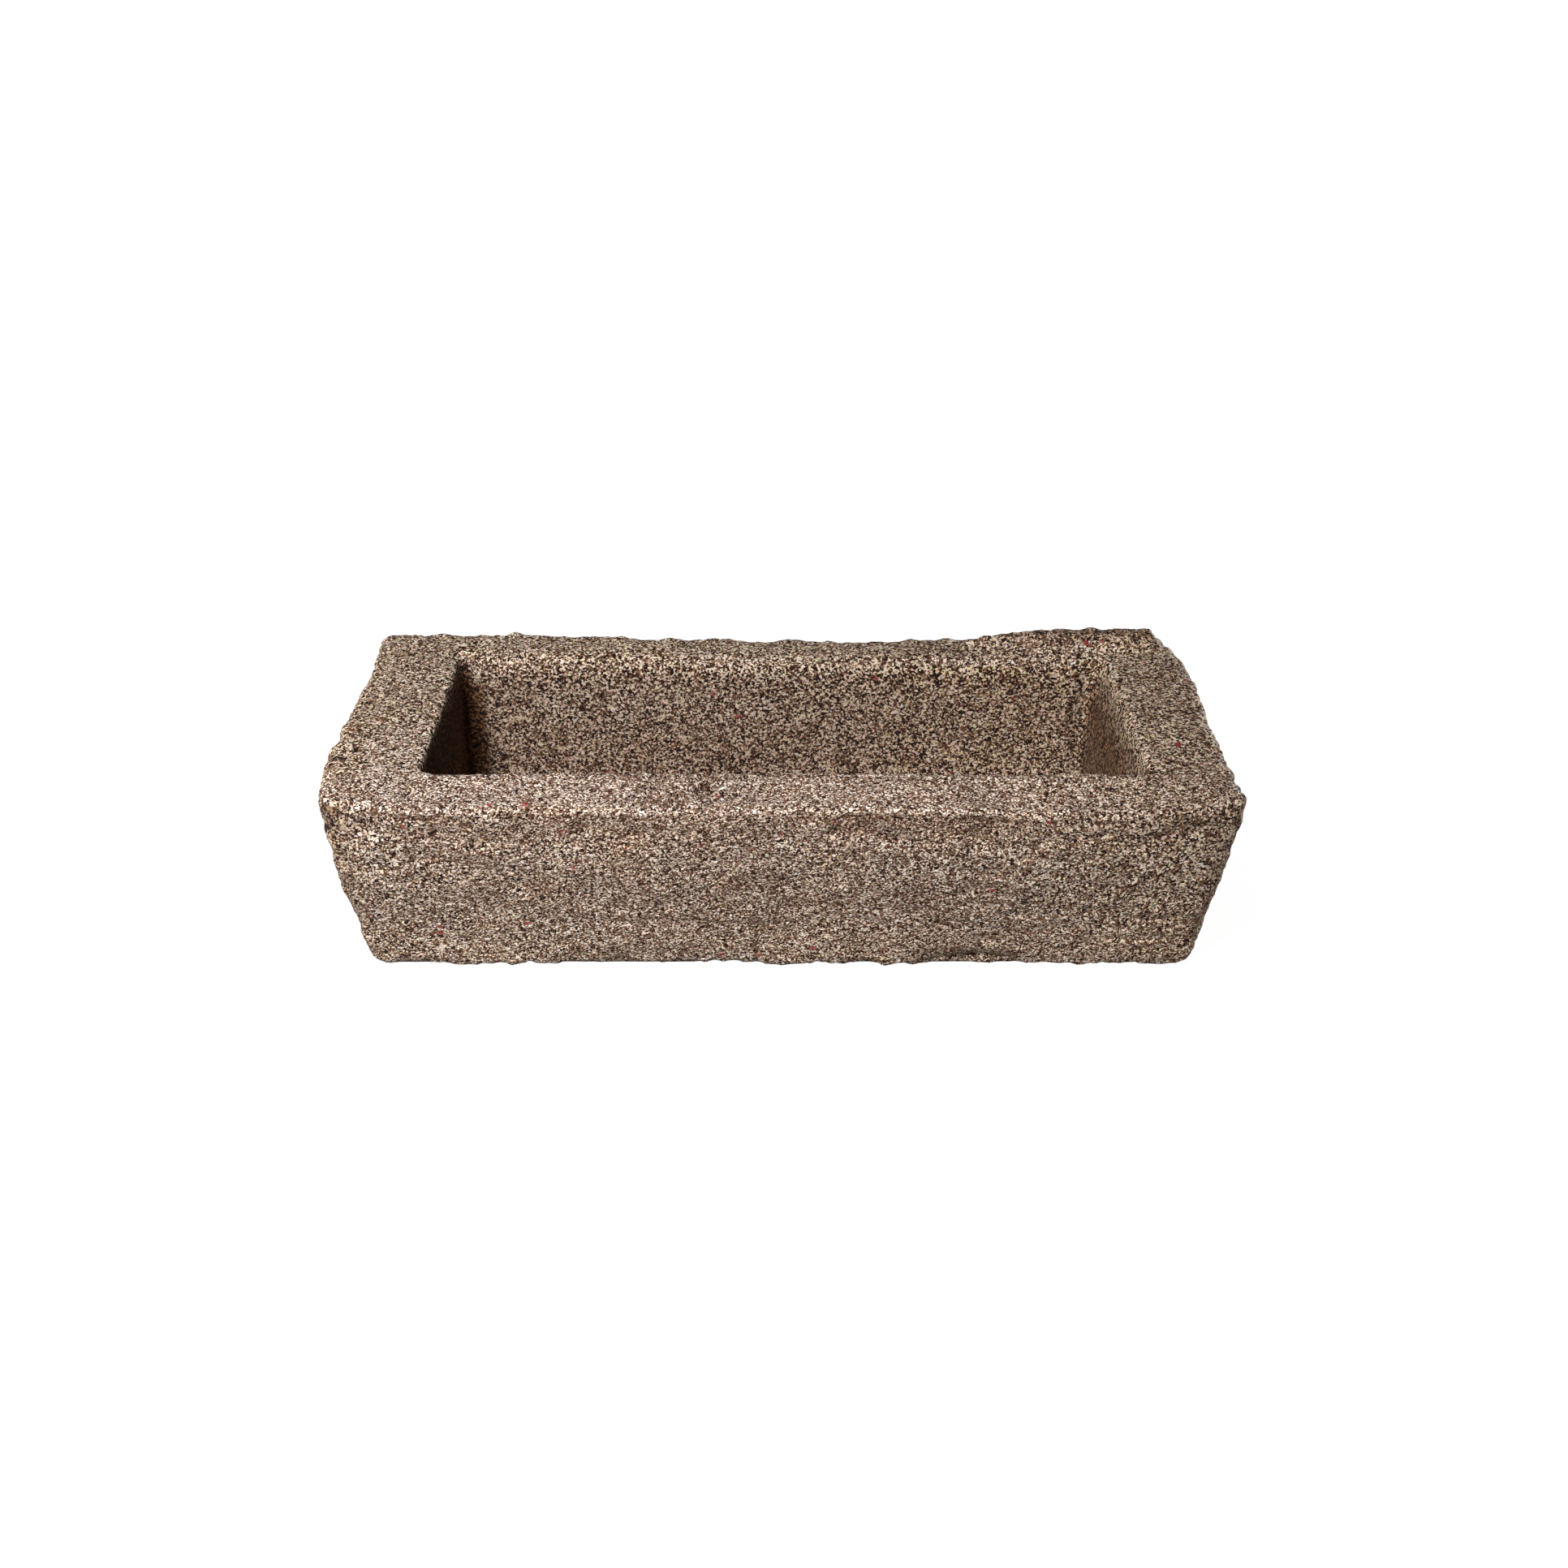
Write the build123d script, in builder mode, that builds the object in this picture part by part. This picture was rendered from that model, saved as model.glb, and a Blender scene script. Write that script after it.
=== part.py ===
"""Stone trough planter: one thick-walled block, hewn outside and hollowed from the top, with two drain
holes in its floor and a rubber bung in each. Millimetres, +Z up, +X to the right along the trough, +Y to
the back. The origin is on the ground under the middle of the block.
"""

import math
import os

from build123d import *

# The block
length = 914.0
width = 406.0
rim_height = 203.0
knee_height = 108.0  # where the ends break from the steep upper dressing to the flatter lower one
knee_end_inset = 15.0
knee_side_inset = 6.0
foot_end_inset = 33.0
foot_side_inset = 20.0
corner_radius = 16.0  # of the upright corners, seen from above
rim_arris_radius = 9.0
foot_arris_radius = 9.0
arris_steps = 3
corner_steps = 3

# How far each course is dressed back from its widest line, at even stations from one corner to the next.
# The sides are the front left to right, the right end front to back, the back right to left, and the
# left end back to front. No three stations in a row are in line, so each course has as many corners.
rim_dressing = (
    (2.0, 0.0, 3.0, 1.0, 4.0, 0.0, 1.0),
    (0.0, 6.0, 5.0, 0.0, 13.0),
    (0.0, 1.0, 9.0, 11.0, 8.0, 3.0, 2.0),
    (10.0, 13.0, 6.0, 0.0, 9.0),
)
knee_dressing = (
    (3.0, 1.0, 0.0, 4.0, 2.0, 3.0, 0.0),
    (1.0, 0.0, 5.0, 3.0, 6.0),
    (4.0, 2.0, 6.0, 3.0, 7.0, 1.0, 3.0),
    (6.0, 9.0, 5.0, 7.0, 5.0),
)
foot_dressing = (
    (0.0, 3.0, 1.0, 5.0, 0.0, 3.0, 2.0),
    (0.0, 3.0, 4.5, 1.0, 5.0),
    (1.0, 5.0, 2.0, 6.0, 4.0, 0.0, 4.0),
    (7.0, 10.0, 6.0, 9.0, 5.0),
)

# The lump left standing on the rim at the back right corner. Each of its points is a distance in from the
# right end and a share of the back wall's thickness in from the back.
lump_rise = 15.0
lump_bite = 4.0  # how deep it is rooted in the rim
lump_root = (
    (26, 0.18), (90, 0.17), (170, 0.22), (275, 0.36), (250, 0.62), (170, 0.85), (80, 0.91), (24, 0.84)
)
lump_crown = (
    (34, 0.27), (92, 0.26), (150, 0.30), (200, 0.40), (186, 0.46), (140, 0.52), (74, 0.56), (33, 0.52)
)

# The hollow
left_wall = 102.0
right_wall = 98.0
front_wall = 62.0
back_wall = 73.0
floor_thickness = 45.0
hollow_draft = 2.0  # degrees
hollow_corner_radius = 14.0
hollow_floor_radius = 7.0
hollow_mouth_radius = 6.0

# The drain holes
drain_radius = 12.5
drain_spacing = 420.0

# The bungs
bung_clearance = 0.1
bung_flange_radius = 21.0
bung_flange_thickness = 4.0
bung_flange_rounding = 1.5
bung_core_radius = 9.5
bung_short_of_base = 13.0  # the bung's tip stops this far above the ground
bung_fin_count = 3
bung_fin_thickness = 4.0
bung_fin_lip = 1.2
knob_neck_radius = 5.5
knob_neck_height = 7.0
knob_radius = 9.0
knob_height = 8.0
knob_rounding = 3.5


def course_points(dressing, end_inset, side_inset):
    """The corner points of one level of the block, anticlockwise from the front left corner."""
    half_length = length / 2 - end_inset
    half_width = width / 2 - side_inset
    corners = [
        Vector(-half_length, -half_width),
        Vector(half_length, -half_width),
        Vector(half_length, half_width),
        Vector(-half_length, half_width),
    ]
    points = []
    for side, dips in enumerate(dressing):
        start, end = corners[side], corners[(side + 1) % len(corners)]
        along = (end - start).normalized()
        inward = along.rotate(Axis.Z, 90)
        # The sides before and after this one are dressed back too, so it starts late and ends early.
        first = corner_radius + dressing[side - 1][-1]
        next_dip = dressing[(side + 1) % len(corners)][0]
        last = (end - start).length - corner_radius - next_dip
        for station, dip in enumerate(dips):
            distance = first + (last - first) * station / (len(dips) - 1)
            points.append(start + along * distance + inward * dip)
        # The round corner between this side and the next
        centre = end - along * (corner_radius + next_dip) + inward * (corner_radius + dips[-1])
        for step in range(1, corner_steps):
            turn = -90 + 90 * step / corner_steps
            points.append(centre + along.rotate(Axis.Z, turn) * corner_radius)
    return points


def arris_levels(radius):
    """(inset, drop) pairs that round an edge of the block, from the flat face to the full outline."""
    turns = [math.pi / 2 * step / arris_steps for step in range(arris_steps + 1)]
    return [(radius * (1 - math.sin(t)), radius * (1 - math.cos(t))) for t in turns]


def block_levels():
    """(height, dressing, end inset, side inset) of each level of the block, from the ground up."""
    levels = [
        (drop, foot_dressing, foot_end_inset + inset, foot_side_inset + inset)
        for inset, drop in arris_levels(foot_arris_radius)
    ]
    levels.append((knee_height, knee_dressing, knee_end_inset, knee_side_inset))
    levels += [
        (rim_height - drop, rim_dressing, inset, inset)
        for inset, drop in reversed(arris_levels(rim_arris_radius))
    ]
    return levels


def lump_points(outline):
    """The corners of the lump, from distances in from the right end and shares of the back wall."""
    return [(length / 2 - from_end, width / 2 - share * back_wall) for from_end, share in outline]


hollow_middle = Vector(left_wall - right_wall, front_wall - back_wall) / 2
drain_places = {
    side: hollow_middle + Vector(out * drain_spacing / 2, 0, floor_thickness)
    for side, out in (("left", -1), ("right", 1))
}

with BuildPart() as trough_body:
    for height, dressing, end_inset, side_inset in block_levels():
        with BuildSketch(Plane.XY.offset(height)):
            with BuildLine():
                Polyline(*course_points(dressing, end_inset, side_inset), close=True)
            make_face()
    loft(ruled=True)
    # The lump stands on the rim, narrower at its crown than at its root.
    for height, outline in ((rim_height - lump_bite, lump_root), (rim_height + lump_rise, lump_crown)):
        with BuildSketch(Plane.XY.offset(height)):
            with BuildLine():
                Polyline(*lump_points(outline), close=True)
            make_face()
    loft(ruled=True)
    # The hollow, narrowing towards the floor
    with BuildSketch(Plane.XY.offset(rim_height)):
        with Locations(hollow_middle):
            RectangleRounded(
                length - left_wall - right_wall, width - front_wall - back_wall, hollow_corner_radius
            )
    extrude(amount=floor_thickness - rim_height, taper=hollow_draft, mode=Mode.SUBTRACT)
    # The level faces from the ground up are the foot, the hollow's floor, the rim and the lump's crown.
    hollow_floor = trough_body.faces().filter_by(Plane.XY).sort_by(Axis.Z)[1]
    fillet(hollow_floor.edges(), hollow_floor_radius)
    rim = trough_body.faces().filter_by(Plane.XY).sort_by(Axis.Z)[2]
    mouth = rim.inner_wires().sort_by(SortBy.LENGTH)[-1]
    fillet(mouth.edges(), hollow_mouth_radius)
    # The drain holes
    with Locations(*drain_places.values()):
        Hole(drain_radius, floor_thickness)
trough_body.part.label = "trough_body"


def bung_outline():
    """Half of a bung's section as (radius, height above the hollow's floor), from its tip up to its knob."""
    shank = floor_thickness - bung_short_of_base
    fin_radius = drain_radius - bung_clearance
    fin_pitch = shank / bung_fin_count
    outline = [(0, -shank)]
    for fin in range(bung_fin_count):
        bottom = -shank + fin * fin_pitch
        lip = bottom + bung_fin_thickness
        outline += [(bung_core_radius, bottom), (fin_radius, lip), (fin_radius, lip + bung_fin_lip)]
        outline += [(bung_core_radius, lip + 2 * bung_fin_lip)]
    outline += [(bung_core_radius, 0), (bung_flange_radius, 0)]
    outline += [(bung_flange_radius, bung_flange_thickness), (knob_neck_radius, bung_flange_thickness)]
    neck_top = bung_flange_thickness + knob_neck_height
    outline += [(knob_neck_radius, neck_top), (knob_radius, neck_top)]
    outline += [(knob_radius, neck_top + knob_height), (0, neck_top + knob_height)]
    return outline


def make_bung(place):
    """One drain bung, seated in the drain hole whose top is at this place."""
    upright = Plane(origin=place, x_dir=(1, 0, 0), z_dir=(0, -1, 0))
    with BuildPart() as bung:
        with BuildSketch(upright):
            with BuildLine():
                Polyline(*bung_outline(), close=True)
            make_face()
        revolve(axis=Axis(place, (0, 0, 1)))
        circles = bung.edges().filter_by(GeomType.CIRCLE)
        knob_top_rim = circles.sort_by(Axis.Z)[-1]
        fillet(knob_top_rim, knob_rounding)
        flange_rims = bung.edges().filter_by(GeomType.CIRCLE).group_by(SortBy.RADIUS)[-1]
        fillet(flange_rims.sort_by(Axis.Z)[-1], bung_flange_rounding)
    return bung


os.makedirs("parts", exist_ok=True)
export_step(trough_body.part, "parts/trough_body.step")
for side, place in drain_places.items():
    drain_bung = make_bung(place)
    drain_bung.part.label = f"drain_bung_{side}"
    export_step(drain_bung.part, f"parts/drain_bung_{side}.step")
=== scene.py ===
"""Stone trough planter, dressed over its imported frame: one block of coarse speckled stone, hewn outside and
hollowed from the top, with a rubber bung in each of the two drain holes in its floor. Metres, +Z up, +X to
the right along the trough, +Y to the back.
"""

import math

import bmesh
import bpy
from mathutils import Matrix, Vector, noise


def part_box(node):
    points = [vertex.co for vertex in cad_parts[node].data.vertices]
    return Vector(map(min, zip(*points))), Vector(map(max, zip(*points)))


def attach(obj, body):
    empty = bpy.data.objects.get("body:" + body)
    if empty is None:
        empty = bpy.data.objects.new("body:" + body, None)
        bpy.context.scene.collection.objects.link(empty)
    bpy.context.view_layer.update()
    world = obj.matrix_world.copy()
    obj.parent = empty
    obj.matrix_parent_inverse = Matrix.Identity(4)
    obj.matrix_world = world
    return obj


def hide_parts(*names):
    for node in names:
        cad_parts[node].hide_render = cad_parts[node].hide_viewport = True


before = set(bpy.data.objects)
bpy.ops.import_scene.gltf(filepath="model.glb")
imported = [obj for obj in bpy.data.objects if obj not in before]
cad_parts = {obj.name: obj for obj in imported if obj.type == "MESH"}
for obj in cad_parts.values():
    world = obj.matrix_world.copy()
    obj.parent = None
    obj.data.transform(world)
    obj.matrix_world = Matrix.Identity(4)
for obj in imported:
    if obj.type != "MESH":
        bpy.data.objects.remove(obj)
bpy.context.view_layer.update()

MM = 0.001

# The block: its outer size is read from the frame, and the rest is as in the solid
BLOCK_LOW, BLOCK_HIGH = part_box("trough_body")
HALF_LENGTH = BLOCK_HIGH.x
HALF_WIDTH = BLOCK_HIGH.y
RIM_HEIGHT = 203 * MM  # the lump at the back right corner stands above it
MOUTH_LEFT = 102 * MM - HALF_LENGTH
MOUTH_RIGHT = HALF_LENGTH - 98 * MM
MOUTH_FRONT = 62 * MM - HALF_WIDTH
MOUTH_BACK = HALF_WIDTH - 73 * MM
BUNG_RISE = 19 * MM  # how far a bung stands above the hollow's floor
FLOOR_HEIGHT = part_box("drain_bung_left")[1].z - BUNG_RISE

# The drain holes
DRAIN_RADIUS = 12.5 * MM
DRAIN_CENTRES = [
    (low + high) / 2 for low, high in (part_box("drain_bung_left"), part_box("drain_bung_right"))
]
DRAIN_SIDES = 48
SEAT_RADIUS = 30 * MM  # the floor is left true this far round each hole

# How far the rim, the hollow's back corners and the foot stand off the solid, in millimetres
RIM_BULGE = 8  # of the front rim, forward
RIM_BULGE_WAVER = 4
RIM_DROOP = 4  # of the front rim's edge
RIM_DROOP_RIGHT = 6  # so much more right of the middle
RIM_WAVER = 3.5
TOOL_MARK_DEPTH = 4.5
BACK_RIM_WEAR = 4.0
BACK_LEFT_CUT = 13.0
BACK_RIGHT_CUT = 9.0
WIDEST_FOOT_CHIP = 6.0
FOOT_CHIPS = 7.0

# The mesh
GRAIN_OF_MESH = 3.3 * MM
KEPT_TRIANGLES = 190000
EASING_PASSES = 2
WEARING_PASSES = 40  # what these take off an edge is the most that it is worn
LEAST_WEAR = 0.2
CRISPING = 0.5  # how far less the two edges of the front rim are worn, which leaves them crisp

# The camera, fitted to the photograph's frame
FRAME_PIXELS = 1932
FOCAL_PIXELS = 2461
SENSOR = 36.0  # in Blender's own millimetres
PITCH = math.radians(28.18)
YAW = math.radians(1.10)
ROLL = math.radians(0.58)
DISTANCE = 1923 * MM  # to the middle of the front rim's outer edge, along the view
CAMERA_SHIFT = Vector((2.4, 18.1)) * MM  # to the right of that point, and above it


def smooth_step(low, high, value):
    """0 below low, 1 above high, and an S between them. low may be the larger."""
    share = min(max((value - low) / (high - low), 0.0), 1.0)
    return share * share * (3 - 2 * share)


def bump_at(value, centre, reach):
    """1 at centre, falling to 0 at reach from it on either side."""
    return smooth_step(reach, 0.0, abs(value - centre))


class Spot:
    """A place on the block's even surface: which way it faces, and how sharp an edge it is on."""

    def __init__(self, place, normal, edge):
        self.place = place
        self.edge = edge  # 0 on a face, 1 on an outward edge
        self.fine_height = 0.0  # how far the fine relief stands out here
        x, y, z = place - hollow_set(place)
        past_mouth = max(MOUTH_LEFT - x, x - MOUTH_RIGHT, MOUTH_FRONT - y, y - MOUTH_BACK)
        self.in_hollow = past_mouth < MM and z > FLOOR_HEIGHT - MM
        outside = 0.0 if self.in_hollow else 1.0
        self.facing_front = max(-normal.y, 0.0) * outside
        self.facing_back = max(normal.y, 0.0) * outside
        self.facing_end = abs(normal.x) * outside
        self.facing_up = max(normal.z, 0.0) * outside
        self.on_right_wall = smooth_step(0.35, 0.75, -normal.x) * (1.0 - outside)
        self.groove = tool_groove(self)


def ripple(place, size, seed, stretch=(1.0, 1.0, 1.0)):
    """Smooth noise from -1 to 1 with lumps of this size, drawn out along the axes by stretch."""
    point = Vector(part / (size * pull) for part, pull in zip(place, stretch))
    return noise.noise(point + Vector((seed, 2.3 * seed, -1.7 * seed)))


def broad_swell(spot):
    """The slow unevenness of hand-dressed faces."""
    depth = 1.2 * MM if spot.in_hollow else (2.4 - 1.0 * spot.facing_up) * MM
    return depth * ripple(spot.place, 120 * MM, 3.1) + 0.5 * depth * ripple(spot.place, 55 * MM, 9.4)


def hewn_lumps(spot):
    """Chisel-sized lumps, highest along the block's outward edges and lowest in the hollow."""
    height = 0.6 if spot.in_hollow else 1.3 - 0.6 * spot.facing_up
    if not spot.in_hollow:
        height += 1.6 * spot.edge
    coarse = ripple(spot.place, 24 * MM, 5.7)
    fine = ripple(spot.place, 12 * MM, 6.6)
    return height * MM * (coarse + 0.7 * fine)


def coarse_grain(spot):
    """The gritty break of the stone itself."""
    height = 0.4 if spot.in_hollow else 0.65 - 0.3 * spot.facing_up + 0.5 * spot.edge
    return height * MM * (ripple(spot.place, 6.5 * MM, 1.9) + 0.7 * ripple(spot.place, 4.2 * MM, 4.2))


def bedding(spot):
    """Wavering ridges on the long sides, where the block split along its bed. They fall to the right."""
    face = smooth_step(0.5, 0.9, max(spot.facing_front, spot.facing_back))
    if not face:
        return 0.0
    x, y, z = spot.place
    dip = 0.28 * smooth_step(0.1 * RIM_HEIGHT, 0.8 * RIM_HEIGHT, z)
    slant = Vector((x, y, z + dip * x))
    ridge = 1 - abs(ripple(slant, 19 * MM, 8.8, (4.0, 1.0, 1.0))) * 2.2
    thin_ridge = 1 - abs(ripple(slant, 9 * MM, 14.8, (3.5, 1.0, 1.0))) * 2.2
    patch = smooth_step(-0.25, 0.35, ripple(spot.place, 90 * MM, 2.6))
    return MM * face * (0.35 + 0.65 * patch) * (1.8 * ridge + 0.7 * thin_ridge)


def spalled_band(spot):
    """The rougher broken band just under the rim's front edge, with a groove where chips have come away."""
    face = smooth_step(0.4, 0.8, spot.facing_front)
    if not face:
        return 0.0
    x, _, z = spot.place
    below = rim_edge_height(x) - z
    band = bump_at(below, 24 * MM, 26 * MM)
    pits = min(ripple(spot.place, 13 * MM, 12.4, (1.2, 1.0, 1.1)) + 0.12, 0.0)
    chips = smooth_step(-0.1, 0.3, ripple(spot.place, 38 * MM, 21.7, (1.6, 1.0, 1.0)))
    groove = bump_at(below, 8 * MM + 2 * MM * ripple(spot.place, 30 * MM, 17.2), 6 * MM)
    return face * MM * (band * (-1.0 + 6.5 * pits) - groove * (1.0 + 2.4 * chips))


def tool_groove(spot):
    """How deep in a slanting tool mark of the front rim this is, from 0 to 1. They are deepest left of its
    middle."""
    x, y, _ = spot.place
    top = smooth_step(0.6, 0.9, spot.facing_up)
    if not top or y > MOUTH_FRONT:
        return 0.0
    along = (x - 0.7 * y) / (16 * MM) + 0.8 * ripple(spot.place, 60 * MM, 11.2)
    deep = bump_at(x, -88 * MM, 115 * MM) + 0.3 * bump_at(x, -240 * MM, 110 * MM)
    broken = smooth_step(-0.5, 0.1, ripple(spot.place, 22 * MM, 4.9))
    return top * deep * broken * (0.5 - 0.5 * math.cos(along * math.tau)) ** 1.5


def tooled_rim(spot):
    """The tool marks on the front rim, and the small lumps between them."""
    if spot.place.y > MOUTH_FRONT:
        return 0.0
    lumps = smooth_step(0.6, 0.9, spot.facing_up) * ripple(spot.place, 15 * MM, 31.3, (1.0, 1.6, 1.0))
    return MM * ((1 + spot.groove) * lumps - TOOL_MARK_DEPTH * spot.groove)


def chipped_foot(spot):
    """Chips broken off the foot's front edge, the widest one right of the middle."""
    low = smooth_step(26 * MM, 4 * MM, spot.place.z) * smooth_step(0.3, 0.7, spot.facing_front)
    if not low:
        return 0.0
    chips = max(ripple(spot.place, 70 * MM, 61.8, (1.0, 1.0, 2.0)), 0.0)
    widest = bump_at(spot.place.x, 180 * MM, 75 * MM)
    return -MM * low * (WIDEST_FOOT_CHIP * widest + FOOT_CHIPS * chips)


def worn_back_rim(spot):
    """The back rim is worn down between its ends."""
    top = smooth_step(0.3, 0.8, spot.facing_up)
    if not top or spot.place.y < MOUTH_BACK:
        return 0.0
    return -BACK_RIM_WEAR * MM * top * bump_at(spot.place.x, 60 * MM, 330 * MM)


# Single knobs and nicks on the rim: where, how far each reaches and how high it stands
KNOBS = (
    (Vector((-296, 197, 203)) * MM, 13 * MM, 6 * MM),
    (Vector((-60, 200, 203)) * MM, 11 * MM, 3 * MM),
    (Vector((352, 190, 218)) * MM, 16 * MM, 4 * MM),
    (Vector((448, 178, 200)) * MM, 20 * MM, -9 * MM),
    (Vector((455, -150, 190)) * MM, 18 * MM, -7 * MM),
    (Vector((-452, -60, 200)) * MM, 24 * MM, -2.5 * MM),
)


def knobs(spot):
    """The few knobs and nicks that stand out on the rim's outer edge."""
    return sum(rise * bump_at((spot.place - middle).length, 0.0, reach) for middle, reach, rise in KNOBS)


BROAD_RELIEF = (broad_swell, chipped_foot, worn_back_rim, knobs)
FINE_RELIEF = (hewn_lumps, coarse_grain, bedding, spalled_band, tooled_rim)


def true_floor(place):
    """0 where the stone stays flat under and round the bungs, 1 where it may be rough."""
    nearest = min(math.hypot(place.x - centre.x, place.y - centre.y) for centre in DRAIN_CENTRES)
    return smooth_step(SEAT_RADIUS, 1.6 * SEAT_RADIUS, nearest)


def plug_drains(bm):
    """Closes the drain holes, so the block can be roughened before they are drilled through it again."""
    def in_drain(vert):
        reach = 1.1 * DRAIN_RADIUS
        return any(math.hypot(vert.co.x - drain.x, vert.co.y - drain.y) < reach for drain in DRAIN_CENTRES)

    walls = [face for face in bm.faces if all(map(in_drain, face.verts)) and abs(face.normal.z) < 0.5]
    bmesh.ops.delete(bm, geom=walls, context="FACES")
    bmesh.ops.holes_fill(bm, edges=[edge for edge in bm.edges if edge.is_boundary], sides=0)


def applied(mesh, name, kind, settings):
    """A mesh with one modifier applied to it."""
    carrier = bpy.data.objects.new(name, mesh)
    bpy.context.scene.collection.objects.link(carrier)
    modifier = carrier.modifiers.new(kind.lower(), kind)
    for setting, value in settings.items():
        setattr(modifier, setting, value)
    shown = carrier.evaluated_get(bpy.context.evaluated_depsgraph_get())
    result = bpy.data.meshes.new_from_object(shown)
    bpy.data.objects.remove(carrier)
    result.name = name
    return result


def drill():
    """A round cutter through each drain hole."""
    bm = bmesh.new()
    for drain in DRAIN_CENTRES:
        bmesh.ops.create_cone(
            bm, cap_ends=True, segments=DRAIN_SIDES, radius1=DRAIN_RADIUS, radius2=DRAIN_RADIUS,
            depth=4 * FLOOR_HEIGHT, matrix=Matrix.Translation((drain.x, drain.y, 0)),
        )
    mesh = bpy.data.meshes.new("drain_drill")
    bm.to_mesh(mesh)
    bm.free()
    cutter = bpy.data.objects.new("drain_drill", mesh)
    bpy.context.scene.collection.objects.link(cutter)
    return cutter


def ease(bm, passes):
    """Smooths the whole mesh this many times."""
    for _ in range(passes):
        bmesh.ops.smooth_vert(
            bm, verts=bm.verts, factor=0.5, use_axis_x=True, use_axis_y=True, use_axis_z=True
        )


def softness(place):
    """How far the edges at this place are worn towards a wide roll. Below 0 they are sharpened instead."""
    x, y, z = place
    if y < MOUTH_FRONT + 25 * MM:
        high = smooth_step(RIM_HEIGHT - 60 * MM, RIM_HEIGHT - 30 * MM, z)
        along = smooth_step(HALF_LENGTH - 20 * MM, HALF_LENGTH - 80 * MM, abs(x))
        return LEAST_WEAR - CRISPING * high * along
    if x < MOUTH_LEFT:
        return LEAST_WEAR
    across = smooth_step(MOUTH_BACK - 20 * MM, MOUTH_BACK, y)
    across *= smooth_step(MOUTH_BACK + 40 * MM, MOUTH_BACK + 20 * MM, y)
    along = smooth_step(MOUTH_LEFT, MOUTH_LEFT + 60 * MM, x)
    along *= smooth_step(MOUTH_RIGHT + 10 * MM, MOUTH_RIGHT - 25 * MM, x)
    return LEAST_WEAR + (1 - LEAST_WEAR) * across * along


def rim_edge_height(x):
    """How high the rim's front edge is: it droops towards the front, most right of the middle."""
    along = smooth_step(HALF_LENGTH, HALF_LENGTH - 90 * MM, abs(x))
    waver = ripple((x, 0, 0), 48 * MM, 71.7) + 0.6 * ripple((x, 0, 0), 21 * MM, 76.1)
    right = bump_at(x, 270 * MM, 190 * MM)
    return RIM_HEIGHT - along * MM * (RIM_DROOP + RIM_DROOP_RIGHT * right + RIM_WAVER * waver)


def front_set(place):
    """How far the front of the rim bulges out and droops."""
    x, y, z = place
    along = smooth_step(HALF_LENGTH, HALF_LENGTH - 90 * MM, abs(x))
    front = smooth_step(MOUTH_FRONT - 4 * MM, -HALF_WIDTH + 12 * MM, y)
    high = smooth_step(50 * MM, RIM_HEIGHT - 20 * MM, z)
    bulge = (RIM_BULGE + RIM_BULGE_WAVER * ripple((x, 0, 0), 62 * MM, 83.4)) * MM
    return Vector((0, -bulge * along, rim_edge_height(x) - RIM_HEIGHT)) * front * high


def hollow_set(place):
    """How far the hollow's ends stand from square: both are turned, and the right one leans in."""
    x, y, z = place
    across = smooth_step(-HALF_WIDTH + 10 * MM, MOUTH_FRONT, y)
    across *= smooth_step(HALF_WIDTH - 10 * MM, MOUTH_BACK, y)
    share = min(max((y - MOUTH_FRONT) / (MOUTH_BACK - MOUTH_FRONT), 0.0), 1.0)
    left = smooth_step(75 * MM, 25 * MM, abs(x - MOUTH_LEFT)) * (6.0 * share - 2.0)
    depth = smooth_step(RIM_HEIGHT, RIM_HEIGHT - 95 * MM, z)
    right = smooth_step(75 * MM, 25 * MM, abs(x - MOUTH_RIGHT)) * (10.0 - 6.0 * share - 8.0 * depth)
    back_left = smooth_step(34 * MM, 6 * MM, math.hypot(x - MOUTH_LEFT, y - MOUTH_BACK))
    back_right = smooth_step(34 * MM, 6 * MM, math.hypot(x - MOUTH_RIGHT, y - MOUTH_BACK))
    above_floor = smooth_step(FLOOR_HEIGHT - 15 * MM, FLOOR_HEIGHT, z)
    to_back = BACK_LEFT_CUT * back_left + BACK_RIGHT_CUT * back_right
    return Vector(((left + right) * across - 3.0 * back_left, to_back, 0)) * MM * above_floor


def wear_edges(bm):
    """Rolls the edges over, and returns each point's sharpness: 1 on an outward edge, 0 on a face."""
    sharp = [vert.co.copy() for vert in bm.verts]
    normals = [vert.normal.copy() for vert in bm.verts]
    ease(bm, WEARING_PASSES)
    edges = []
    for vert, place, normal in zip(bm.verts, sharp, normals):
        worn_off = place - vert.co
        edges.append(smooth_step(0.3 * MM, 2.6 * MM, worn_off.dot(normal)))
        vert.co = place - worn_off * softness(place) + front_set(place) + hollow_set(place)
    bm.normal_update()
    return edges


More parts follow.
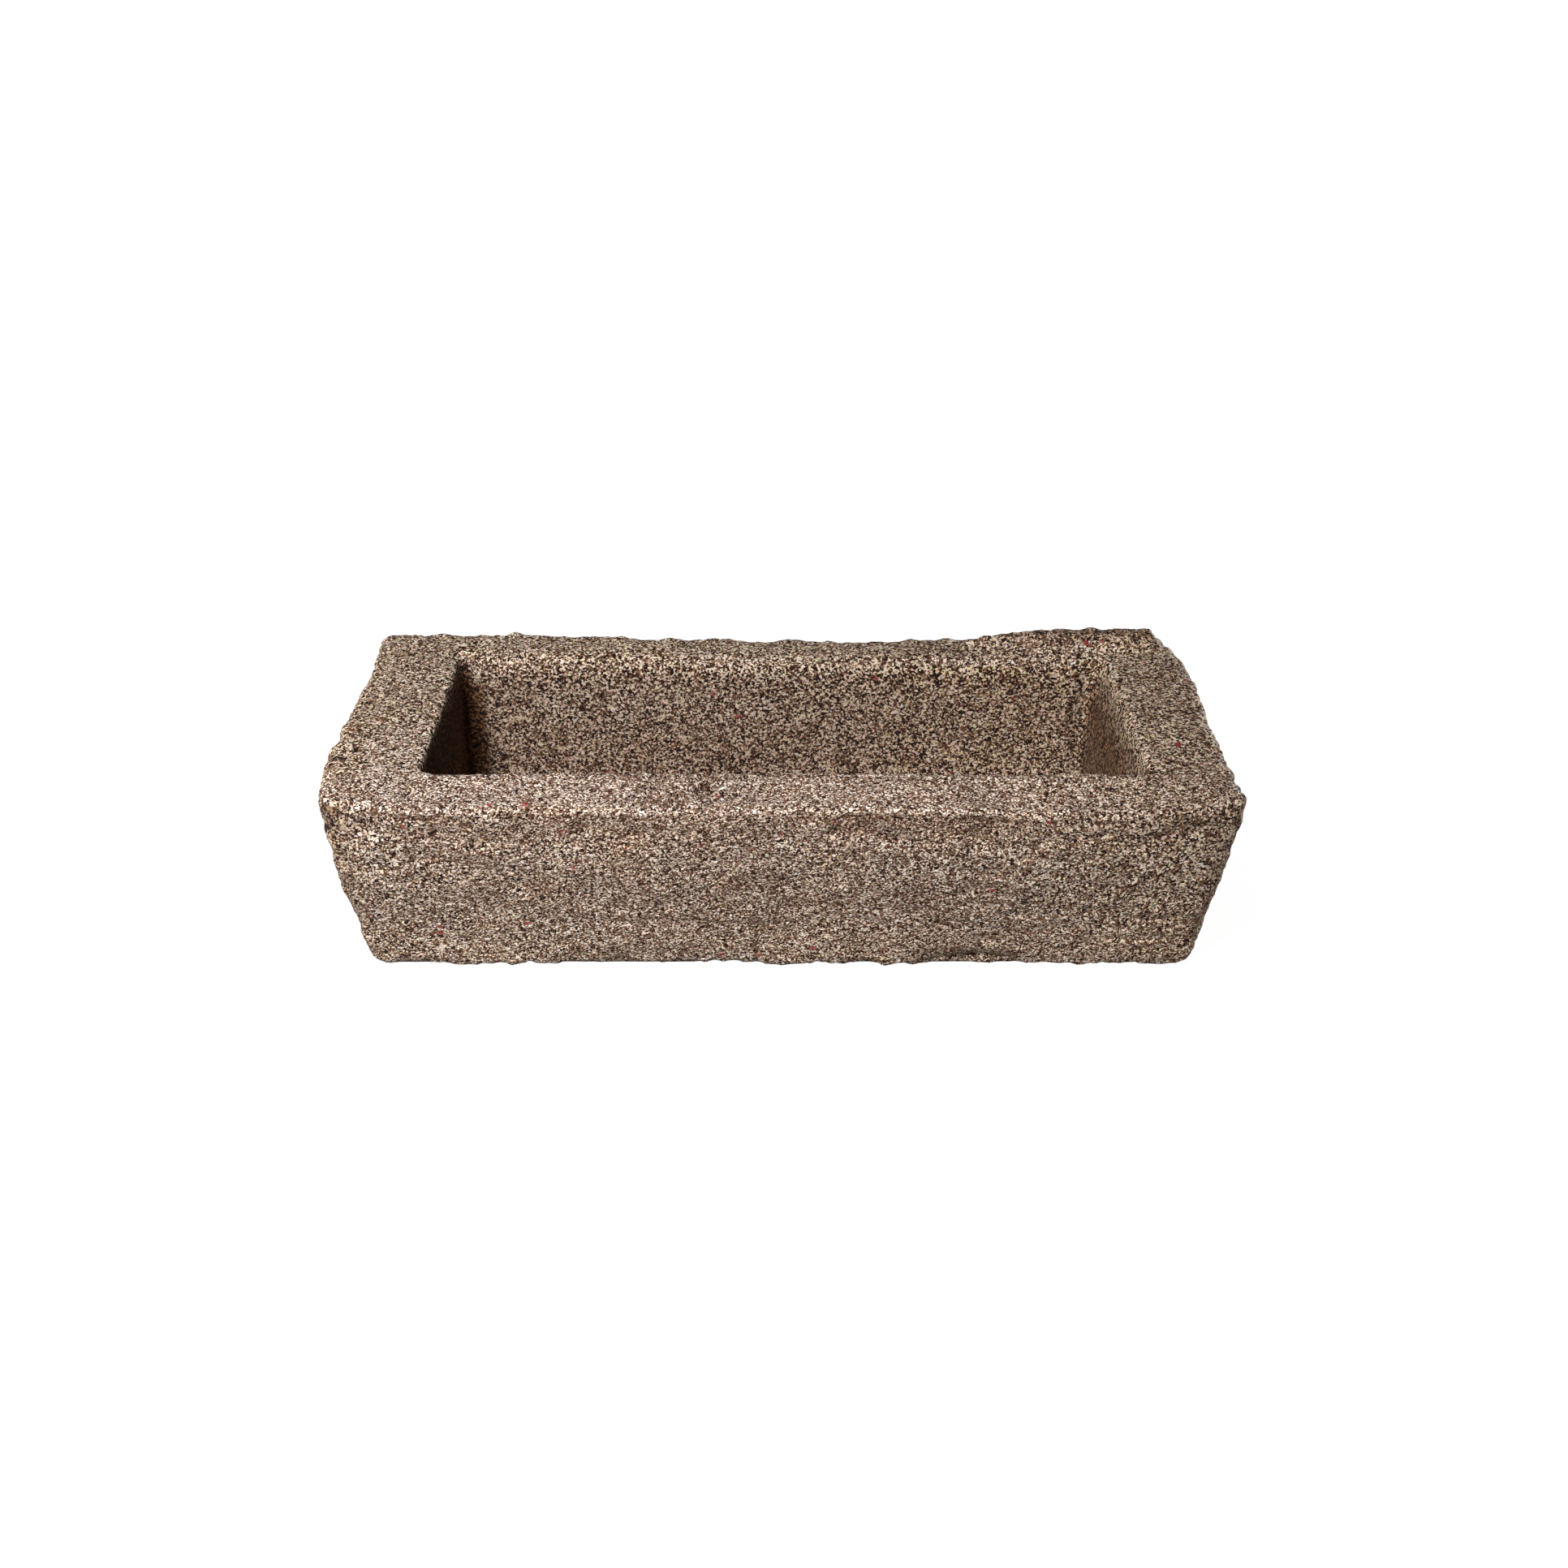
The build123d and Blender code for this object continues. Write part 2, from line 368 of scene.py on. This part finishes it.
def coarseness(spot):
    """The share of the stone's grains that are coarse, as the finish shows them."""
    x, y, z = spot.place
    if spot.in_hollow:
        top_band = smooth_step(RIM_HEIGHT - 50 * MM, RIM_HEIGHT - 20 * MM, z)
        return 0.75 + 0.3 * top_band + 0.6 * spot.on_right_wall
    # The coarse grains of the right end reach further along the block than those of the left end.
    corner_start, corner_share = (0.25, 0.65) if x > 0 else (0.45, 0.5)
    corner = smooth_step(corner_start * HALF_LENGTH, 0.95 * HALF_LENGTH, abs(x))
    corner *= smooth_step(-50 * MM, RIM_HEIGHT, z)
    patch = smooth_step(-0.2, 0.5, ripple(spot.place, 50 * MM, 41.3))
    behind = smooth_step(MOUTH_FRONT - 10 * MM, MOUTH_FRONT + 30 * MM, y) * spot.facing_up
    plain = 0.05 + 0.15 * spot.edge + corner_share * corner * (1 - behind) + 0.3 * patch
    front_rim = smooth_step(MOUTH_FRONT + 10 * MM, MOUTH_FRONT - 10 * MM, y) * spot.facing_up
    return min(plain * (1 - 0.5 * front_rim) + 0.55 * behind + 0.6 * spot.groove, 0.95)


def warmth(spot):
    """How rusty the grains are: least on the front rim, most in the hollow's right and at the corners."""
    x, y, z = spot.place
    if spot.in_hollow:
        top_band = smooth_step(RIM_HEIGHT - 45 * MM, RIM_HEIGHT - 12 * MM, z)
        right = smooth_step(0, 240 * MM, x)
        return 0.44 + (0.12 + 0.2 * right) * max(spot.edge, top_band) + 0.32 * right
    patch = 0.2 * smooth_step(0.0, 0.5, ripple(spot.place, 60 * MM, 51.9))
    behind = smooth_step(MOUTH_FRONT - 60 * MM, MOUTH_BACK, y) * spot.facing_up
    low_front = smooth_step(60 * MM, 20 * MM, z) * spot.facing_front
    front_rim = smooth_step(MOUTH_FRONT + 10 * MM, MOUTH_FRONT - 10 * MM, y) * spot.facing_up
    right_end = 0.42 * smooth_step(180 * MM, 400 * MM, x)
    worn_edge = (0.07 + 0.25 * spot.facing_end) * spot.edge
    corner = 0.55 * smooth_step(0.85, 0.99, abs(x) / HALF_LENGTH) * smooth_step(0, RIM_HEIGHT, z)
    rusty = max(worn_edge, patch, right_end, corner, 0.38 * behind, 0.2 * low_front)
    return 0.3 + rusty - 0.26 * front_rim


def outside_paleness(spot):
    """How pale the outside is before its recesses are darkened: most on the front rim, paler low on the front
    with painted light, darker at the rim's ends, and darker with painted shade under the rim's front edge, at
    the front corners and on the lump.
    """
    x, y, z = spot.place
    front_rim = min(1.6 * spot.facing_up, 1.0) * smooth_step(MOUTH_FRONT + 6 * MM, MOUTH_FRONT, y)
    worn_bare = 0.16 - 0.20 * smooth_step(200 * MM, 340 * MM, x)
    worn_bare -= 0.09 * smooth_step(-250 * MM, -330 * MM, x)
    # The rim's top is darker at the hollow's ends, more at the right end.
    end_rim = spot.facing_up * smooth_step(0, 20 * MM, max(MOUTH_LEFT - x, x - MOUTH_RIGHT))
    end_rim_darkening = 0.06 if x > 0 else 0.02
    behind = spot.facing_up * smooth_step(0, MOUTH_BACK, y) * smooth_step(120 * MM, -350 * MM, x)
    # Painted light: the front is paler low down, as if lit by light thrown back from the floor.
    low_front = spot.facing_front * smooth_step(60 * MM, 20 * MM, z)
    # Painted shade under the rim's front edge, darkest just below it.
    below = rim_edge_height(x) - z
    under_rim_shade = 0.09 * bump_at(below, 20 * MM, 22 * MM) + 0.16 * bump_at(below, 9 * MM, 8 * MM)
    # Painted shade: the lump that stands above the rim at the back right corner is darker.
    lump = smooth_step(RIM_HEIGHT, RIM_HEIGHT + 12 * MM, z)
    # Painted shade on the front at the corners below the rim, more at the left corner.
    corner = smooth_step(0.87, 0.97, abs(x) / HALF_LENGTH) * smooth_step(0, -20 * MM, z - RIM_HEIGHT)
    corner *= 0.3 if x > 0 else 0.42
    return (0.86 + front_rim * worn_bare + 0.12 * behind + 0.23 * low_front
            - end_rim_darkening * end_rim - spot.facing_front * (under_rim_shade + corner) - 0.28 * lump)


def paleness(spot):
    """How much light the stone gives back: less in its recesses and in the hollow. The hollow's walls are as
    dark as the photograph shows them under these lamps, so they hold some of its shade as well as dirt."""
    x, _, z = spot.place
    # Darker in the recesses and a little paler on the ridges, partly dirt and partly painted shade; the tool
    # marks' grooves are darkened with painted shade.
    dirt = min(0.11 * spot.fine_height / MM, 0.05) - 0.9 * spot.groove ** 1.7
    if not spot.in_hollow:
        return min(max(outside_paleness(spot) + dirt, 0.2), 1.0)
    # Painted shade: the hollow's top next to its left end is darkened.
    left_end = smooth_step(MOUTH_LEFT + 40 * MM, MOUTH_LEFT + 10 * MM, x)
    top = smooth_step(RIM_HEIGHT, RIM_HEIGHT - 12 * MM, z)
    # Below the mouth the hollow's walls are darker, partly dirt and partly painted shade; deeper down they
    # are darker at the left end and paler at the right end.
    upper = smooth_step(RIM_HEIGHT - 4 * MM, RIM_HEIGHT - 30 * MM, z)
    lower = smooth_step(RIM_HEIGHT - 4 * MM, RIM_HEIGHT - 60 * MM, z)
    right = smooth_step(0, 300 * MM, x)
    deep = smooth_step(RIM_HEIGHT - 60 * MM, RIM_HEIGHT - 100 * MM, z)
    dim = 0.40 - 0.08 * right + (0.08 - 0.19 * right) * deep
    share = min(max(0.87 + dirt, 0.4), 1.0)
    # Painted shade: the right end's wall is darkened, most below its top.
    return share * (1 - dim * upper - 0.6 * top * left_end - 0.58 * lower * spot.on_right_wall)


MARKS = {"coarseness": coarseness, "warmth": warmth, "paleness": paleness}


def roughen(bm, edges):
    """Moves each point of the block out or in by its relief, and marks it for the finish."""
    layers = {name: bm.verts.layers.float.new(name) for name in MARKS}
    even_normal = bm.verts.layers.float_vector.new(EVEN_NORMAL)
    moves = []
    for vert, edge in zip(bm.verts, edges):
        spot = Spot(vert.co.copy(), vert.normal.copy(), edge)
        spot.fine_height = sum(layer(spot) for layer in FINE_RELIEF)
        height = spot.fine_height + sum(layer(spot) for layer in BROAD_RELIEF)
        if spot.in_hollow or vert.co.z < MM:
            height *= true_floor(vert.co)
        for name, mark in MARKS.items():
            vert[layers[name]] = mark(spot)
        vert[even_normal] = vert.normal
        moves.append(vert.normal * height)
    for vert, move in zip(bm.verts, moves):
        level_foot = vert.co.z < 0.5 * MM
        vert.co += move
        vert.co.z = 0.0 if level_foot else max(vert.co.z, 0.0)


# The block's own map: how each side is drawn on it, as its direction across the map, its direction up the
# map, the place of the origin on the map and the scale, all in millimetres on a square of this size
MAP_NAME = "OFBake"
MAP_SIDE = 1216
EVEN_NORMAL = "even_normal"
RIGHT, BACK, UP = Vector((1, 0, 0)), Vector((0, 1, 0)), Vector((0, 0, 1))
CHARTS = {
    "rim": (RIGHT, BACK, (464, 219), 1.0),
    "floor": (RIGHT, BACK, (464, 211), 0.8),
    "front": (RIGHT, UP, (464, 438), 1.0),
    "back": (-RIGHT, UP, (464, 655), 1.0),
    "hollow_back": (RIGHT, UP, (364, 837), 1.0),
    "hollow_front": (-RIGHT, UP, (364, 1006), 1.0),
    "left": (UP, BACK, (932, 217), 1.0),
    "right": (UP, -BACK, (932, 640), 1.0),
    "hollow_left": (BACK, UP, (1076, 815), 1.0),
    "hollow_right": (-BACK, UP, (1070, 980), 1.0),
    "foot": (-RIGHT, BACK, (826, 930), 0.22),
}
DRAIN_CORNERS = ((730, 1055), (730, 1110))


def side_of(middle, normal):
    """The chart for a face with this middle that faced this way before it was roughened."""
    x, y, z = middle
    across, along, up = map(abs, normal)
    if up > max(across, along):
        return "foot" if normal.z < 0 else "floor" if z < RIM_HEIGHT / 2 else "rim"
    reach = 30 * MM
    inside = MOUTH_LEFT - reach < x < MOUTH_RIGHT + reach and MOUTH_FRONT - reach < y < MOUTH_BACK + reach
    if along > across:
        # The hollow's walls face the other way from the outside on the same side.
        if inside:
            return "hollow_back" if normal.y < 0 else "hollow_front"
        return "front" if normal.y < 0 else "back"
    if inside:
        return "hollow_left" if normal.x > 0 else "hollow_right"
    return "left" if normal.x < 0 else "right"


def on_drain(place, middle, drain, corner):
    """A place on a drain hole's wall, rolled out flat from the side that the face's middle is on."""
    facing = math.atan2(middle.y - drain.y, middle.x - drain.x)
    turn = math.remainder(math.atan2(place.y - drain.y, place.x - drain.x) - facing, math.tau)
    return corner[0] + (math.pi + facing + turn) * DRAIN_RADIUS / MM, corner[1] + place.z / MM


def lay_out(mesh):
    """Gives the block its own map, on which every side is drawn flat at nearly the same scale."""
    normals = [point.vector.copy() for point in mesh.attributes[EVEN_NORMAL].data]
    places = [vert.co / MM for vert in mesh.vertices]
    spots = []
    for face in mesh.polygons:
        middle = face.center
        drain = next((i for i, hole in enumerate(DRAIN_CENTRES)
                      if math.hypot(middle.x - hole.x, middle.y - hole.y) < 1.01 * DRAIN_RADIUS), None)
        if drain is not None:
            for vert in face.vertices:
                place = mesh.vertices[vert].co
                spots += on_drain(place, middle, DRAIN_CENTRES[drain], DRAIN_CORNERS[drain])
            continue
        normal = sum((normals[vert] for vert in face.vertices), Vector())
        across, up, origin, scale = CHARTS[side_of(middle, normal)]
        for vert in face.vertices:
            place = places[vert]
            spots += (origin[0] + scale * across.dot(place), origin[1] + scale * up.dot(place))
    layer = mesh.uv_layers.new(name=MAP_NAME)
    layer.uv.foreach_set("vector", [part / MAP_SIDE for part in spots])
    mesh.attributes.remove(mesh.attributes[EVEN_NORMAL])


def closed_copy(cad_node, name):
    """A copy of the CAD solid's mesh, merged into one skin, with its drain holes closed."""
    bm = bmesh.new()
    bm.from_mesh(cad_node.data)
    bmesh.ops.remove_doubles(bm, verts=bm.verts, dist=0.001 * MM)
    plug_drains(bm)
    mesh = bpy.data.meshes.new(name)
    bm.to_mesh(mesh)
    bm.free()
    return mesh


def hewn_block(cad_node):
    """The stone: the solid's shape, remeshed evenly, worn and roughened, with its drains drilled last."""
    name = "hewn_trough"
    mesh = closed_copy(cad_node, name)
    mesh = applied(mesh, name, "REMESH", {"mode": "VOXEL", "voxel_size": GRAIN_OF_MESH})
    bm = bmesh.new()
    bm.from_mesh(mesh)
    ease(bm, EASING_PASSES)
    bm.normal_update()
    roughen(bm, wear_edges(bm))
    bmesh.ops.triangulate(bm, faces=bm.faces)
    ratio = KEPT_TRIANGLES / len(bm.faces)
    bm.to_mesh(mesh)
    bm.free()
    mesh = applied(mesh, name, "DECIMATE", {"ratio": min(ratio, 1.0)})
    cutter = drill()
    mesh = applied(mesh, name, "BOOLEAN", {"operation": "DIFFERENCE", "object": cutter, "solver": "EXACT"})
    bpy.data.objects.remove(cutter)
    mesh.shade_smooth()
    lay_out(mesh)
    block = bpy.data.objects.new(name, mesh)
    bpy.context.scene.collection.objects.link(block)
    return block


class Value:
    """One output of a material's nodes. Sums on it add Math nodes."""

    def __init__(self, finish, socket):
        self.finish = finish
        self.socket = socket

    def maths(self, operation, first, second):
        """This operation of a Math node, on numbers and other outputs."""
        return self.finish.node("ShaderNodeMath", {"operation": operation}, {0: first, 1: second})["Value"]

    def __add__(self, other):
        return self.maths("ADD", self, other)

    def __sub__(self, other):
        return self.maths("SUBTRACT", self, other)

    def __rsub__(self, other):
        return self.maths("SUBTRACT", other, self)

    def __mul__(self, other):
        return self.maths("MULTIPLY", self, other)

    def __lt__(self, other):
        return self.maths("LESS_THAN", self, other)

    __radd__ = __add__
    __rmul__ = __mul__


class Node:
    """A node whose outputs are read by name."""

    def __init__(self, finish, node):
        self.finish = finish
        self.node = node

    def __getitem__(self, name):
        return Value(self.finish, self.node.outputs[name])


class Finish:
    """A material while it is made: its nodes and its one Principled shader."""

    def __init__(self, name):
        self.material = bpy.data.materials.new(name)
        self.material.use_nodes = True
        self.tree = self.material.node_tree
        self.shader = self.tree.nodes["Principled BSDF"]

    def node(self, kind, settings=None, inputs=None):
        """A node of this kind, with its settings made first and then its sockets set or linked."""
        node = self.tree.nodes.new(kind)
        for setting, value in (settings or {}).items():
            if setting in ("stops", "steps"):
                node.color_ramp.interpolation = "LINEAR" if setting == "stops" else "CONSTANT"
                self.set_stops(node.color_ramp, value)
            else:
                setattr(node, setting, value)
        self.fill(node, inputs or {})
        return Node(self, node)

    def fill(self, node, inputs):
        """Sets or links the sockets of a node, named or numbered."""
        for key, value in inputs.items():
            socket = node.inputs[key]
            if isinstance(value, Value):
                self.tree.links.new(value.socket, socket)
            else:
                socket.default_value = value

    @staticmethod
    def set_stops(ramp, stops):
        """Gives a colour ramp its stops, each a place and a colour."""
        while len(ramp.elements) > 1:
            ramp.elements.remove(ramp.elements[-1])
        for number, (place, colour) in enumerate(stops):
            element = ramp.elements[0] if number == 0 else ramp.elements.new(place)
            element.position = place
            element.color = colour

    def mixed(self, share, first, second, blend="MIX"):
        """A colour between first and second, by share."""
        settings = {"data_type": "RGBA", "blend_type": blend}
        node = self.node("ShaderNodeMix", settings, {0: share, 6: first, 7: second})
        return Value(self, node.node.outputs[2])


def srgb(red, green, blue):
    """A colour as a screen shows it, from 0 to 255, turned to the linear values that nodes take."""
    def linear(part):
        part /= 255
        return part / 12.92 if part <= 0.04045 else ((part + 0.055) / 1.055) ** 2.4

    return (linear(red), linear(green), linear(blue), 1.0)


# The stone's grains, from the darkest to the palest, each with the share of the grains up to it
GRAIN_TONES = (
    (0.00, srgb(28, 4, 0)),
    (0.23, srgb(51, 19, 5)),
    (0.29, srgb(97, 66, 45)),
    (0.50, srgb(131, 103, 83)),
    (0.70, srgb(166, 143, 126)),
    (0.79, srgb(236, 221, 207)),
    (1.00, srgb(255, 253, 248)),
)
# What tints the grains, each from the share of the grains before it
GRAIN_TINTS = (
    (0.000, (1.00, 0.97, 0.94, 1.0)),
    (0.380, (1.00, 0.84, 0.62, 1.0)),
    (0.460, (1.00, 0.96, 0.65, 1.0)),
    (0.610, (1.00, 0.78, 0.80, 1.0)),
    (0.760, (0.84, 0.92, 1.00, 1.0)),
    (0.830, (0.88, 1.00, 0.73, 1.0)),
    (0.993, (1.00, 0.20, 0.16, 1.0)),
    (0.998, (0.45, 0.62, 1.00, 1.0)),
)
# How large the grains are
FINE_GRAIN = Vector((1.55, 1.35, 1.15)) * MM  # flattened along the stone's bed
COARSE_GRAIN = Vector((1.95, 1.95, 1.85)) * MM
SPECK = Vector((2.6, 2.6, 2.4)) * MM  # single black or white grains
FLECK = Vector((5.5, 5.5, 3.5)) * MM  # single red grains
GRIT = Vector((5, 5, 4)) * MM
# The share of single grains in the finest stone, and how much more of it there is in the coarsest
FINE_BLACKS, COARSE_BLACKS = 0.014, 0.10
FINE_WHITES, COARSE_WHITES = 0.005, 0.075
FLECK_SHARE = 0.0018
FLECK_COLOUR = srgb(160, 56, 58)
TONE_SPREAD = 0.3  # how much further apart the tones of coarse grains are
COOL_CAST = srgb(251, 239, 234)
WARM_CAST = srgb(255, 231, 203)
# The tint that the paleness mark darkens the stone towards, for dirt and painted shade alike
DIRT_AND_SHADE_TINT = (0.25, 0.14, 0.07, 1.0)


def scaled(finish, place, size):
    """The place in units of this size, along each axis."""
    shares = Vector(1 / part for part in size)
    return finish.node("ShaderNodeVectorMath", {"operation": "MULTIPLY"}, {0: place, 1: shares})["Vector"]


def grains(finish, place, size):
    """Cells of this size: how far a point is from its cell's middle, and the cell's random numbers."""
    settings = {"Vector": scaled(finish, place, size), "Scale": 1.0}
    cells = finish.node("ShaderNodeTexVoronoi", {"feature": "F1"}, settings)
    draws = finish.node("ShaderNodeSeparateColor", None, {"Color": cells["Color"]})
    return cells["Distance"], draws["Red"], draws["Green"], draws["Blue"]


def marked(finish, name):
    """A mark that the mesh carries at each of its points."""
    return finish.node("ShaderNodeAttribute", {"attribute_name": name})["Fac"]


def grain_colour(stone, place, fine, rust):
    """The grains' own colours: each is fine or coarse, and single grains are black or white."""
    coarse = marked(stone, "coarseness")
    _, fine_tone, fine_hue, fine_pick = fine
    _, coarse_tone, coarse_hue, _ = grains(stone, place, COARSE_GRAIN)
    is_coarse = fine_pick < coarse
    tone = fine_tone + is_coarse * (coarse_tone - fine_tone)
    tone = tone + coarse * TONE_SPREAD * (tone - 0.5)
    hue = fine_hue + is_coarse * (coarse_hue - fine_hue)
    _, speck, speck_hue, _ = grains(stone, place, SPECK)
    black = speck < coarse * COARSE_BLACKS + FINE_BLACKS
    white = 1 - speck < coarse * COARSE_WHITES + FINE_WHITES
    tone = tone * (1 - black) + white
    hue = hue + (black + white) * (speck_hue - hue)
    plain = stone.node("ShaderNodeValToRGB", {"stops": GRAIN_TONES}, {"Fac": tone})["Color"]
    tint = stone.node("ShaderNodeValToRGB", {"steps": GRAIN_TINTS}, {"Fac": hue})["Color"]
    tinted = stone.mixed(1.0, plain, tint, "MULTIPLY")
    return stone.mixed(rust * 0.64 + white * 0.25 + 0.14, plain, tinted)


def weathered_and_shaded(stone, place, colour, rust):
    """A colour made warmer or cooler in patches and with rust, with red flecks, and mixed towards the dirt
    and shade tint by the paleness mark, which holds dirt, painted shade and painted light.
    """
    patches = stone.node("ShaderNodeTexNoise", None, {"Vector": place, "Scale": 14.0, "Detail": 2.0})
    warm_share = patches["Fac"] * 0.7 + rust * 0.86 - 0.26
    cast = stone.mixed(warm_share, COOL_CAST, WARM_CAST)
    colour = stone.mixed(0.6, colour, stone.mixed(1.0, colour, cast, "MULTIPLY"))
    _, fleck, _, _ = grains(stone, place, FLECK)
    colour = stone.mixed((fleck < FLECK_SHARE) * 0.8, colour, FLECK_COLOUR)
    dirt_and_shade_colour = stone.mixed(1.0, colour, DIRT_AND_SHADE_TINT, "MULTIPLY")
    return stone.mixed(marked(stone, "paleness"), dirt_and_shade_colour, colour)


def speckled_stone():
    """Gritty stone: black, brown, tan and cream grains, coarser and rustier where it is worn."""
    stone = Finish("speckled_stone")
    place = stone.node("ShaderNodeTexCoord")["Object"]
    rust = marked(stone, "warmth")
    fine = grains(stone, place, FINE_GRAIN)
    colour = weathered_and_shaded(stone, place, grain_colour(stone, place, fine, rust), rust)

    dome, fine_tone, _, fine_pick = fine
    grit_place = scaled(stone, place, GRIT)
    grit = stone.node("ShaderNodeTexNoise", None, {"Vector": grit_place, "Scale": 1.0})["Fac"]
    bump_height = grit * 2.4 - dome * 0.8 + fine_pick * 0.3
    bump = stone.node("ShaderNodeBump", None, {"Height": bump_height, "Distance": MM, "Strength": 0.8})
    roughness = 0.92 - fine_tone * 0.2
    stone.fill(stone.shader, {"Base Color": colour, "Roughness": roughness, "Normal": bump["Normal"]})
    stone.fill(stone.shader, {"Specular IOR Level": 0.3})
    return stone.material


def bung_rubber():
    """Matt black-brown rubber."""
    rubber = Finish("bung_rubber")
    place = rubber.node("ShaderNodeTexCoord")["Object"]
    cloud = rubber.node("ShaderNodeTexNoise", None, {"Vector": place, "Scale": 90.0, "Detail": 3.0})
    colour = rubber.mixed(cloud["Fac"], srgb(34, 32, 30), srgb(58, 54, 50))
    roughness = cloud["Fac"] * 0.2 + 0.55
    relief = {"Height": cloud["Fac"], "Distance": 0.3 * MM, "Strength": 0.4}
    bump = rubber.node("ShaderNodeBump", None, relief)
    rubber.fill(rubber.shader, {"Base Color": colour, "Roughness": roughness, "Normal": bump["Normal"]})
    return rubber.material


# The stage
FLOOR_SIZE = 40.0
FLOOR_ALBEDO = 0.3  # for the light that it throws back onto the trough
FLOOR_SHOWN_ALBEDO = 0.9
SHADOW_SHARE = 0.12  # how much of the floor near the trough, as the camera sees it, is lit by the lamps
SHADOW_REACH = 0.9  # how far from the trough's middle the floor shows its shadow


def stage_pale():
    """The floor's finish, which looks white and keeps a faint shadow near the trough."""
    pale = Finish("stage_pale")
    rays = pale.node("ShaderNodeLightPath")
    thrown, shown = [(albedo,) * 3 + (1,) for albedo in (FLOOR_ALBEDO, FLOOR_SHOWN_ALBEDO)]
    colour = pale.mixed(rays["Is Camera Ray"], thrown, shown)
    pale.fill(pale.shader, {"Base Color": colour, "Roughness": 0.9, "Specular IOR Level": 0.0})
    place = pale.node("ShaderNodeTexCoord")["Object"]
    distance = pale.node("ShaderNodeVectorMath", {"operation": "LENGTH"}, {0: place})["Value"]
    near = pale.node(
        "ShaderNodeMapRange", {"interpolation_type": "SMOOTHSTEP"},
        {"Value": distance, "From Min": SHADOW_REACH, "From Max": 0.5 * SHADOW_REACH},
    )["Result"]
    white = pale.node("ShaderNodeEmission", None, {"Color": (1, 1, 1, 1), "Strength": 1.1})
    white_share = rays["Is Camera Ray"] * (1 - near * SHADOW_SHARE)
    seen = pale.node("ShaderNodeMixShader", None, {0: white_share})
    pale.tree.links.new(pale.shader.outputs[0], seen.node.inputs[1])
    pale.tree.links.new(white.node.outputs[0], seen.node.inputs[2])
    pale.tree.links.new(seen.node.outputs[0], pale.tree.nodes["Material Output"].inputs["Surface"])
    return pale.material


def stage_floor():
    """A plain level floor."""
    bm = bmesh.new()
    bmesh.ops.create_grid(bm, x_segments=1, y_segments=1, size=FLOOR_SIZE / 2)
    mesh = bpy.data.meshes.new("stage_floor")
    bm.to_mesh(mesh)
    bm.free()
    floor = bpy.data.objects.new("stage_floor", mesh)
    bpy.context.scene.collection.objects.link(floor)
    floor.data.materials.append(stage_pale())


def white_world(fill):
    """The world looks white and lights everything with a weak even fill."""
    world = bpy.data.worlds.new("pale_room")
    bpy.context.scene.world = world
    world.use_nodes = True
    tree = world.node_tree
    tree.nodes.clear()
    ray = tree.nodes.new("ShaderNodeLightPath")
    strength = tree.nodes.new("ShaderNodeMapRange")
    strength.inputs["To Min"].default_value = fill
    strength.inputs["To Max"].default_value = 1.0
    light = tree.nodes.new("ShaderNodeBackground")
    light.inputs["Color"].default_value = (1, 1, 1, 1)
    output = tree.nodes.new("ShaderNodeOutputWorld")
    tree.links.new(ray.outputs["Is Camera Ray"], strength.inputs["Value"])
    tree.links.new(strength.outputs["Result"], light.inputs["Strength"])
    tree.links.new(light.outputs["Background"], output.inputs["Surface"])


# The lamps: the name, the place, what it is turned to, the width and height, and the watts
LAMPS = (
    ("key", (-0.66, -1.28, 1.50), (0.0, 0.0, 0.15), (0.6, 0.4), 53.0),
    ("behind", (1.10, 1.35, 0.10), (0.0, 0.2, 0.10), (1.0, 0.16), 18.0),
    ("left", (-1.70, 0.10, 0.10), (0.0, 0.1, 0.10), (1.0, 0.16), 10.0),
    ("right", (1.70, 0.10, 0.10), (0.0, 0.1, 0.10), (1.0, 0.16), 10.0),
)


def lamp(name, place, aim, size, watts):
    """A soft light of this width and height at a place, turned to what it lights."""
    data = bpy.data.lights.new(name, "AREA")
    data.shape = "RECTANGLE"
    data.size, data.size_y = size
    data.energy = watts
    light = bpy.data.objects.new(name, data)
    bpy.context.scene.collection.objects.link(light)
    light.location = place
    light.rotation_euler = (Vector(aim) - Vector(place)).to_track_quat("-Z", "Y").to_euler()
    light.visible_camera = False


def photographed_from():
    """The camera, where the photograph was taken from."""
    data = bpy.data.cameras.new("camera")
    data.sensor_width = SENSOR
    data.lens = FOCAL_PIXELS / FRAME_PIXELS * SENSOR
    camera = bpy.data.objects.new("camera", data)
    bpy.context.scene.collection.objects.link(camera)
    forward = Vector((0, math.cos(PITCH), -math.sin(PITCH)))
    up = Vector((0, math.sin(PITCH), math.cos(PITCH)))
    offset = Vector((CAMERA_SHIFT.x, 0, 0)) - forward * DISTANCE + up * CAMERA_SHIFT.y
    turn = Matrix.Rotation(-YAW, 4, "Z")
    tilt = Matrix.Rotation(math.pi / 2 - PITCH, 4, "X")
    edge_middle = Matrix.Translation((0, -HALF_WIDTH, RIM_HEIGHT))
    place = edge_middle @ turn @ Matrix.Translation(offset)
    camera.matrix_world = place @ tilt @ Matrix.Rotation(ROLL, 4, "Z")
    bpy.context.scene.camera = camera


block = hewn_block(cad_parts["trough_body"])
block.data.materials.clear()
block.data.materials.append(speckled_stone())
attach(block, "trough")
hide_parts("trough_body")

rubber = bung_rubber()
for node in ("drain_bung_left", "drain_bung_right"):
    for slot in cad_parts[node].material_slots:
        slot.material = rubber

stage_floor()
white_world(fill=0.02)
for lamp_values in LAMPS:
    lamp(*lamp_values)
photographed_from()
bpy.context.scene.view_settings.view_transform = "Standard"
